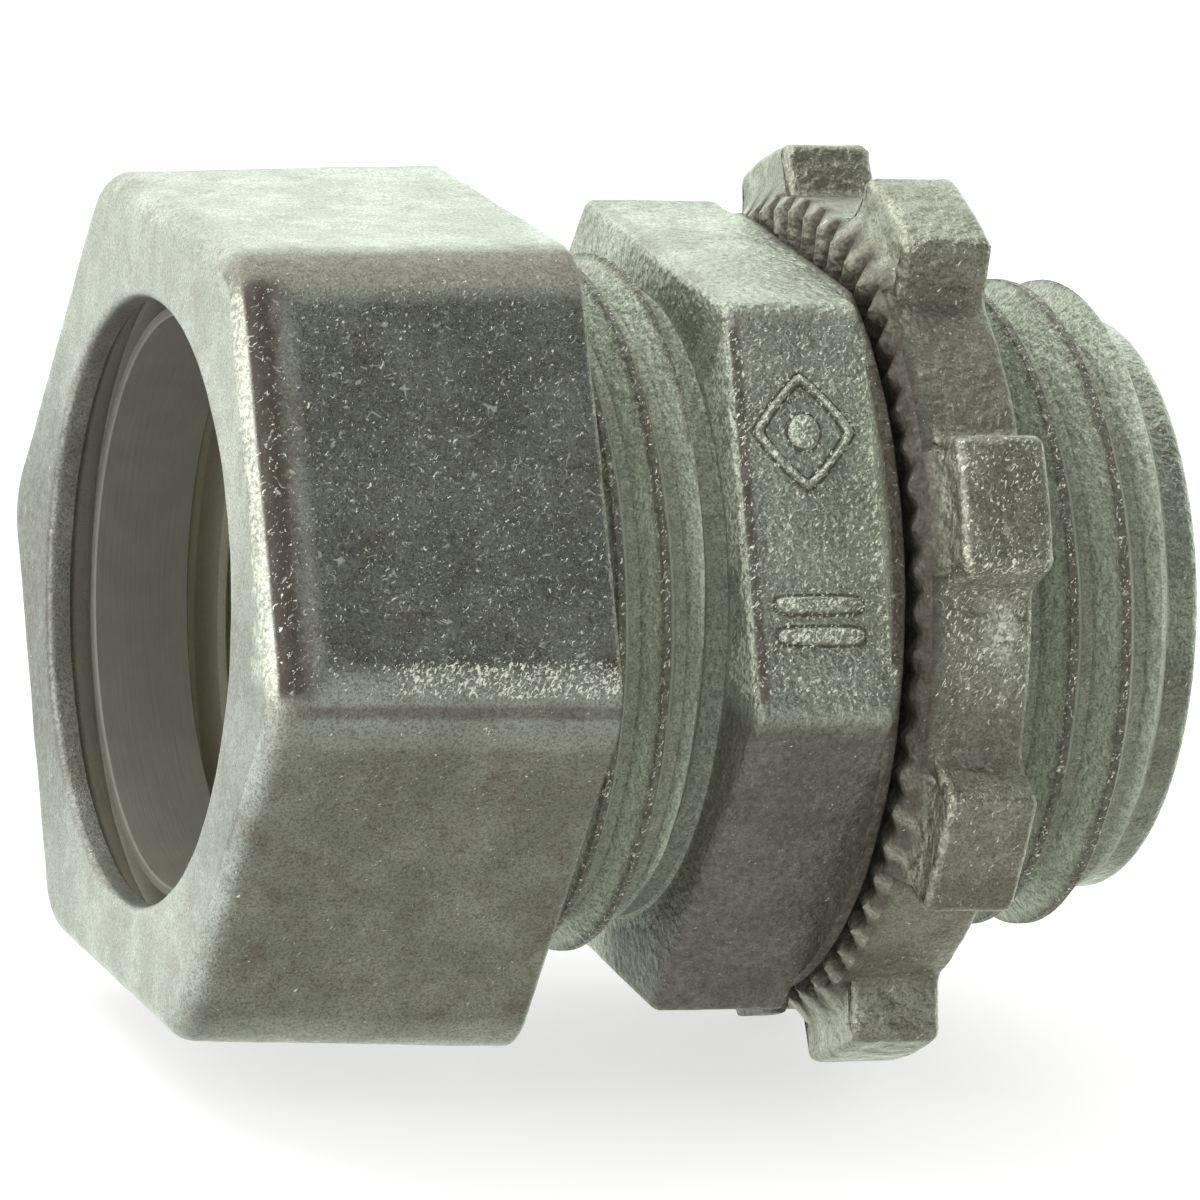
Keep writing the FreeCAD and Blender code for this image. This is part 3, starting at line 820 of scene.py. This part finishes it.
class Shader:
    """A material's nodes, with short calls to add them."""

    def __init__(self, name):
        self.material = bpy.data.materials.new(name)
        self.material.use_nodes = True
        self.tree = self.material.node_tree
        self.tree.nodes.clear()
        self.output = self.tree.nodes.new("ShaderNodeOutputMaterial")
        self.surface = self.tree.nodes.new("ShaderNodeBsdfPrincipled")
        self.link(self.surface.outputs["BSDF"], self.output.inputs["Surface"])
        place = self.tree.nodes.new("ShaderNodeTexCoord")
        scale = self.tree.nodes.new("ShaderNodeVectorMath")
        scale.operation = "SCALE"
        scale.inputs["Scale"].default_value = 1 / MM
        self.link(place.outputs["Object"], scale.inputs[0])
        self.place = scale.outputs[0]

    def link(self, source, target):
        self.tree.links.new(source, target)

    def give(self, target, value):
        """Links an output, or sets a plain value."""
        if isinstance(value, bpy.types.NodeSocket):
            self.link(value, target)
        else:
            target.default_value = value

    def stretched(self, scale, turn=(0, 0, 0), kind="POINT"):
        """The place on the piece, scaled and turned by degrees, for a texture to read."""
        node = self.tree.nodes.new("ShaderNodeMapping")
        node.vector_type = kind
        node.inputs["Scale"].default_value = scale
        node.inputs["Rotation"].default_value = [math.radians(a) for a in turn]
        self.link(self.place, node.inputs["Vector"])
        return node.outputs["Vector"]

    def noise(self, scale, detail=3.0, rough=0.55, place=None, distortion=0.0):
        node = self.tree.nodes.new("ShaderNodeTexNoise")
        self.link(place or self.place, node.inputs["Vector"])
        node.inputs["Scale"].default_value = scale
        node.inputs["Detail"].default_value = detail
        node.inputs["Roughness"].default_value = rough
        node.inputs["Distortion"].default_value = distortion
        return node.outputs["Fac"]

    def strokes(self, size, turn, more, low, high):
        """Short irregular strokes: size is a stroke's extent in millimetres along its own axes.

        more, 0 to 1, raises how much of the surface they cover.
        """
        own = self.stretched(size, turn, kind="TEXTURE")
        field = self.noise(1.0, 2.0, 0.6, place=own, distortion=0.8)
        return self.step(self.math("ADD", field, self.math("MULTIPLY", more, 0.22)), low, high)

    def hairlines(self, scale, width):
        """Thin curved lines that come and go, as hair scratches do."""
        field = self.noise(scale, 1.0, 0.5, distortion=0.5)
        off = self.math("ABSOLUTE", self.math("SUBTRACT", field, 0.5))
        line = self.step(off, width, 0.4 * width)
        return self.math("MULTIPLY", line, self.step(self.noise(2.2 * scale, 1.0, 0.5), 0.56, 0.64))

    def step(self, value, low, high):
        """0 below low to 1 above high; low may be the larger."""
        node = self.tree.nodes.new("ShaderNodeMapRange")
        node.interpolation_type = "SMOOTHSTEP"
        self.link(value, node.inputs["Value"])
        flip = low > high
        node.inputs["From Min"].default_value = min(low, high)
        node.inputs["From Max"].default_value = max(low, high)
        node.inputs["To Min"].default_value = 1.0 if flip else 0.0
        node.inputs["To Max"].default_value = 0.0 if flip else 1.0
        return node.outputs["Result"]

    def math(self, kind, a, b=0.0):
        """A sum, product or the like of two outputs or numbers."""
        node = self.tree.nodes.new("ShaderNodeMath")
        node.operation = kind
        self.give(node.inputs[0], a)
        self.give(node.inputs[1], b)
        return node.outputs[0]

    def mix(self, factor, a, b, blend="MIX"):
        """Mixes two colours, given as outputs or (r, g, b)."""
        node = self.tree.nodes.new("ShaderNodeMix")
        node.data_type = "RGBA"
        node.blend_type = blend
        self.give(node.inputs["Factor"], factor)
        self.give(node.inputs["A"], a if isinstance(a, bpy.types.NodeSocket) else (*a, 1.0))
        self.give(node.inputs["B"], b if isinstance(b, bpy.types.NodeSocket) else (*b, 1.0))
        return node.outputs["Result"]

    def painted(self, name):
        """A value that paint() stored."""
        node = self.tree.nodes.new("ShaderNodeAttribute")
        node.attribute_name = name
        return node.outputs["Fac"]

    def bump(self, height, distance, onto=None):
        """A normal for a height of up to distance millimetres, on top of another normal."""
        node = self.tree.nodes.new("ShaderNodeBump")
        node.inputs["Strength"].default_value = 1.0
        node.inputs["Distance"].default_value = distance * MM
        self.link(height, node.inputs["Height"])
        if onto is not None:
            self.link(onto, node.inputs["Normal"])
        return node.outputs["Normal"]


# pale colour of bare metal, also used for painted highlights
BARE_AND_HIGHLIGHT = (0.80, 0.82, 0.68)
# dark brown of film, also used for painted shade
FILM_AND_SHADE = (0.06, 0.048, 0.033)
GRAIN_TONE = (0.60, 0.57, 0.53)
# pale matte colour for the inside, painted light that lifts the shade in the bore
INSIDE_PAINTED_LIGHT = (0.60, 0.57, 0.455)
CLEAN_METAL = 0.94


def cast_zinc(name, light, dark, dull_tone, stain, stain_amount, peel, peel_scale, grain, rough):
    """Die-cast zinc: a mottled grey skin with stains, tiny bright specks and short scratches.

    peel and grain are the depths, in millimetres, of its orange-peel skin and its fine grain.
    Five painted values steer it: bare metal and painted highlights, brown film and painted shade,
    dull skin, flecks and painted glints, and the inside, painted light with a pale matte colour.
    """
    s = Shader(name)
    patches = s.noise(0.42, detail=4.0, rough=0.6)
    mottle = s.noise(2.6, detail=4.0, rough=0.65)
    fine = s.noise(11.0, detail=3.0, rough=0.75)
    colour = s.mix(s.step(patches, 0.36, 0.66), dark, light)
    colour = s.mix(s.math("MULTIPLY", s.step(mottle, 0.46, 0.66), 0.4), colour, dark)
    stains = s.step(s.noise(0.8, 5.0, 0.7, distortion=0.6), 0.5, 0.72)
    colour = s.mix(s.math("MULTIPLY", stains, stain_amount), colour, stain)
    dull = s.painted("dull")
    darker = [channel * 0.8 for channel in dull_tone]
    colour = s.mix(dull, colour, s.mix(s.step(mottle, 0.35, 0.65), dull_tone, darker))
    # painted light: the inside gets a pale matte colour that lifts the shade in the bore
    inside = s.painted("inside")
    colour = s.mix(inside, colour, INSIDE_PAINTED_LIGHT)
    speckled = s.math("MULTIPLY", s.step(fine, 0.45, 0.62), s.math("SUBTRACT", 1.0, inside))
    colour = s.mix(speckled, colour, s.mix(1.0, colour, GRAIN_TONE, blend="MULTIPLY"))
    # brown film and painted shade, uneven at their borders
    ragged = s.math("MULTIPLY", s.math("SUBTRACT", s.noise(3.5, 4.0, 0.7), 0.5), 0.9)
    film_and_shade = s.painted("film_and_shade")
    film_and_shade = s.step(s.math("ADD", film_and_shade, s.math("MULTIPLY", ragged, film_and_shade)), 0.05, 1.0)
    colour = s.mix(film_and_shade, colour, FILM_AND_SHADE)
    # bare spots and painted highlights: scratches, specks, flecks, painted glints, and the worn
    # strips, partly painted highlights, with their rough borders
    fleck_and_glint = s.painted("fleck_and_glint")
    half_fleck = s.math("MULTIPLY", fleck_and_glint, 0.5)
    flecks = s.strokes(size=(0.09, 0.09, 0.22), turn=(0, 32, 0), more=fleck_and_glint, low=0.71, high=0.78)
    nicks = s.strokes(size=(0.11, 0.11, 0.42), turn=(0, 40, 0), more=half_fleck, low=0.74, high=0.79)
    hairs = s.hairlines(scale=1.5, width=0.022)
    scratches = s.math("MULTIPLY", hairs, s.step(fleck_and_glint, 0.05, 0.3))
    bare_and_highlight = s.step(s.math("ADD", s.painted("bare_and_highlight"), s.math("MULTIPLY", ragged, 0.9)), 0.35, 0.7)
    pitted = s.step(s.noise(6.0, 3.0, 0.75), 0.43, 0.56)
    bare_and_highlight = s.math("MULTIPLY", bare_and_highlight, s.math("ADD", 0.1, s.math("MULTIPLY", pitted, 0.7)))
    for mark in (s.math("MULTIPLY", scratches, 0.4), nicks, flecks):
        bare_and_highlight = s.math("MAXIMUM", bare_and_highlight, mark)
    colour = s.mix(bare_and_highlight, colour, BARE_AND_HIGHLIGHT)
    s.link(colour, s.surface.inputs["Base Color"])
    # metal where the skin is clean, plain where it is dull, rough or dirty, where shade or highlights
    # are painted, and inside, where the pale colour is painted light
    plain = s.math("MAXIMUM", s.math("MULTIPLY", dull, 0.75), s.math("MULTIPLY", bare_and_highlight, 0.55))
    plain = s.math("MAXIMUM", plain, s.math("MULTIPLY", film_and_shade, 0.8))
    plain = s.math("MAXIMUM", plain, s.math("MULTIPLY", inside, CLEAN_METAL))
    s.link(s.math("SUBTRACT", CLEAN_METAL, plain), s.surface.inputs["Metallic"])
    roughness = s.math("ADD", rough, s.math("MULTIPLY", s.math("SUBTRACT", mottle, 0.5), 0.4))
    roughness = s.math("ADD", roughness, s.math("MULTIPLY", plain, 0.25))
    s.link(roughness, s.surface.inputs["Roughness"])
    normal = s.bump(s.noise(peel_scale, 2.0, 0.5), peel)
    normal = s.bump(fine, grain, onto=normal)
    s.link(normal, s.surface.inputs["Normal"])
    return s.material


STEEL_DARK = (0.165, 0.163, 0.132)
STEEL_LIGHT = (0.185, 0.183, 0.148)
STEEL_METAL = 0.2


def turned_steel(name):
    """The gland ring: dull plated steel with fine turning lines round the axis."""
    s = Shader(name)
    lines = s.noise(9.0, detail=2.0, rough=0.5, place=s.stretched((1.0, 0.04, 0.04)))
    blotch = s.noise(0.9, detail=4.0, rough=0.6)
    colour = s.mix(s.step(blotch, 0.35, 0.7), STEEL_DARK, STEEL_LIGHT)
    s.link(colour, s.surface.inputs["Base Color"])
    s.surface.inputs["Metallic"].default_value = STEEL_METAL
    s.link(s.math("ADD", 0.5, s.math("MULTIPLY", blotch, 0.2)), s.surface.inputs["Roughness"])
    s.link(s.bump(lines, 0.01), s.surface.inputs["Normal"])
    return s.material


# ---------------------------------------------------------------- pieces on the frame

def place(piece, body, node, slot, material):
    """Puts a piece on its body, in the place of its CAD node."""
    piece.data.materials.append(material)
    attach(piece, body)
    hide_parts(node)


body_zinc = cast_zinc(
    "zinc_body", light=(0.56, 0.61, 0.52), dark=(0.38, 0.40, 0.34), dull_tone=(0.60, 0.67, 0.54),
    stain=(0.20, 0.17, 0.12), stain_amount=0.35, peel=0.16, peel_scale=3.4, grain=0.035, rough=0.30)
nut_zinc = cast_zinc(
    "zinc_nut", light=(0.56, 0.595, 0.535), dark=(0.41, 0.435, 0.385), dull_tone=(0.27, 0.275, 0.215),
    stain=(0.27, 0.21, 0.15), stain_amount=0.5, peel=0.03, peel_scale=1.7, grain=0.028, rough=0.27)
lock_zinc = cast_zinc(
    "zinc_locknut", light=(0.52, 0.54, 0.45), dark=(0.33, 0.335, 0.27), dull_tone=(0.36, 0.375, 0.30),
    stain=(0.20, 0.165, 0.11), stain_amount=0.45, peel=0.26, peel_scale=1.6, grain=0.035, rough=0.28)
place(make_body(), "body", "connector_body", "cast_zinc_body", body_zinc)
place(make_nut(), "nut", "compression_nut", "cast_zinc_nut", nut_zinc)
place(make_ring(), "ring", "gland_ring", "steel_ring", turned_steel("ring_steel"))
place(make_locknut(), "locknut", "locknut", "cast_zinc_locknut", lock_zinc)

# ---------------------------------------------------------------- floor, light and camera

FLOOR_HALF = 0.6             # metres
FLOOR_GLOW = 0.6             # lifts the contact shadows, as on a light table
FLOOR_TONES = ((0.50, 0.50, 0.49), (0.52, 0.52, 0.51))
FLOOR_ROUGHNESS = 0.8


def make_floor():
    mesh = bpy.data.meshes.new("floor")
    z = cad_box[0][2]
    h = FLOOR_HALF
    mesh.from_pydata([(-h, -h, z), (h, -h, z), (h, h, z), (-h, h, z)], [], [(0, 1, 2, 3)])
    floor = bpy.data.objects.new("floor", mesh)
    bpy.context.scene.collection.objects.link(floor)
    s = Shader("floor_paper")
    s.link(s.mix(s.noise(0.02, detail=2.0), *FLOOR_TONES), s.surface.inputs["Base Color"])
    s.surface.inputs["Roughness"].default_value = FLOOR_ROUGHNESS
    s.surface.inputs["Emission Color"].default_value = (1, 1, 1, 1)
    s.surface.inputs["Emission Strength"].default_value = FLOOR_GLOW
    mesh.materials.append(s.material)
    floor.visible_glossy = False


PALE = (0.97, 1.045, 0.97)
GREY = (1.02, 0.99, 0.93)
OLIVE = (1.02, 1.0, 0.85)
BAND_TOP = 2.0               # brightest level that the bands may reach
LEFT_LIGHT = 1.12
LEFT_LIGHT_FROM = 0.35       # how far towards -X a direction points where that light starts
LEFT_LIGHT_FULL = 0.8
# (angle about X from +Y towards +Z, brightness, tint) of the light that the metal mirrors
STUDIO_BANDS = [
    (-180, 0.30, OLIVE),
    (-164, 0.34, GREY),
    (-144, 0.32, OLIVE),
    (-109, 0.29, OLIVE),
    (-72, 0.45, OLIVE),
    (-44, 1.1, PALE),
    (-16, 1.5, PALE),
    (22, 1.75, PALE),
    (54, 1.0, PALE),
    (79, 0.5, GREY),
    (104, 0.14, GREY),
    (120, 0.03, GREY),
    (144, 0.03, GREY),
    (155, 0.2, GREY),
    (162, 0.6, PALE),
    (167, 0.85, PALE),
    (174, 0.85, PALE),
    (180, 0.30, OLIVE),
]


def make_world():
    """White all round, but what the metal mirrors is a studio: bands of light and dark about X."""
    world = bpy.data.worlds.new("studio")
    bpy.context.scene.world = world
    world.use_nodes = True
    tree = world.node_tree
    tree.nodes.clear()
    join_up = tree.links.new

    def make(kind, **settings):
        node = tree.nodes.new("ShaderNode" + kind)
        for name, value in settings.items():
            setattr(node, name, value)
        return node

    output = make("OutputWorld")
    background = make("Background")
    join_up(background.outputs[0], output.inputs["Surface"])
    direction = make("TexCoord")
    parts = make("SeparateXYZ")
    join_up(direction.outputs["Generated"], parts.inputs[0])
    # the angle about X, as a share of a turn, picks the band
    angle = make("Math", operation="ARCTAN2")
    join_up(parts.outputs["Z"], angle.inputs[0])
    join_up(parts.outputs["Y"], angle.inputs[1])
    share = make("Math", operation="MULTIPLY_ADD")
    share.inputs[1].default_value = 1 / (2 * math.pi)
    share.inputs[2].default_value = 0.5
    join_up(angle.outputs[0], share.inputs[0])
    ramp = make("ValToRGB")
    join_up(share.outputs[0], ramp.inputs[0])
    stops = ramp.color_ramp.elements
    stops[0].position = 0.0
    stops[1].position = 1.0
    for about_x, level, tint in STUDIO_BANDS:
        position = (about_x + 180) / 360
        if position <= 0.0:
            stop = stops[0]
        elif position >= 1.0:
            stop = stops[len(stops) - 1]
        else:
            stop = stops.new(position)
        stop.color = [level * channel / BAND_TOP for channel in tint] + [1]
    # light from the connector's left end
    minus_x = make("Math", operation="MULTIPLY")
    minus_x.inputs[1].default_value = -1
    join_up(parts.outputs["X"], minus_x.inputs[0])
    left = make("MapRange", interpolation_type="SMOOTHSTEP")
    left.inputs["From Min"].default_value = LEFT_LIGHT_FROM
    left.inputs["From Max"].default_value = LEFT_LIGHT_FULL
    join_up(minus_x.outputs[0], left.inputs["Value"])
    sided = make("Mix", data_type="RGBA")
    join_up(left.outputs["Result"], sided.inputs["Factor"])
    join_up(ramp.outputs["Color"], sided.inputs["A"])
    sided.inputs["B"].default_value = (*[LEFT_LIGHT / BAND_TOP] * 3, 1)
    gain = make("VectorMath", operation="SCALE")
    gain.inputs["Scale"].default_value = BAND_TOP
    join_up(sided.outputs["Result"], gain.inputs[0])
    # only glossy rays see the studio
    path = make("LightPath")
    choose = make("Mix", data_type="RGBA")
    join_up(path.outputs["Is Glossy Ray"], choose.inputs["Factor"])
    choose.inputs["A"].default_value = (1, 1, 1, 1)
    join_up(gain.outputs[0], choose.inputs["B"])
    join_up(choose.outputs["Result"], background.inputs["Color"])


# The camera, as it would see the connector with its axis level: yaw from square-on, and distance
# in millimetres. VIEW_ROLL_ABOUT_X turns that view about the axis into the frame's own position.
VIEW_YAW = 19.83
VIEW_PITCH = 0.12
VIEW_ROLL_ABOUT_X = -16.25
VIEW_DISTANCE = 336.677
VIEW_TARGET = (-5.584, 0.0, 0.05)
LENS = 314.76
SENSOR = 36.0
CLIP = (0.01, 10)            # metres
LAMP_AIM = (-0.005, 0, 0)


def make_camera():
    yaw = math.radians(VIEW_YAW)
    pitch = math.radians(VIEW_PITCH)
    turn = Matrix.Rotation(math.radians(VIEW_ROLL_ABOUT_X), 3, "X")
    ahead = math.cos(pitch)
    forward = turn @ Vector((math.sin(yaw) * ahead, math.cos(yaw) * ahead, -math.sin(pitch)))
    right = turn @ Vector((math.cos(yaw), -math.sin(yaw), 0))
    up = right.cross(forward)
    target = turn @ Vector(VIEW_TARGET)
    place = (target - forward * VIEW_DISTANCE) * MM
    axes = Matrix((right, up, -forward)).transposed().to_4x4()
    camera = bpy.data.cameras.new("camera")
    camera.lens = LENS
    camera.sensor_width = SENSOR
    camera.clip_start, camera.clip_end = CLIP
    holder = bpy.data.objects.new("camera", camera)
    bpy.context.scene.collection.objects.link(holder)
    holder.matrix_world = Matrix.Translation(place) @ axes
    bpy.context.scene.camera = holder


def make_light(name, place, size, energy):
    """A soft square lamp that faces the connector; place and size are in metres."""
    lamp = bpy.data.lights.new(name, "AREA")
    lamp.size = size
    lamp.energy = energy
    holder = bpy.data.objects.new(name, lamp)
    bpy.context.scene.collection.objects.link(holder)
    holder.location = place
    aim = Vector(LAMP_AIM) - Vector(place)
    holder.rotation_euler = aim.to_track_quat("-Z", "Y").to_euler()


make_floor()
make_world()
make_camera()
make_light("softbox_top", (-0.12, 0.10, 0.30), size=0.25, energy=0.5)
make_light("softbox_left", (-0.30, -0.05, 0.10), size=0.2, energy=0.3)
bpy.context.scene.view_settings.view_transform = "Standard"
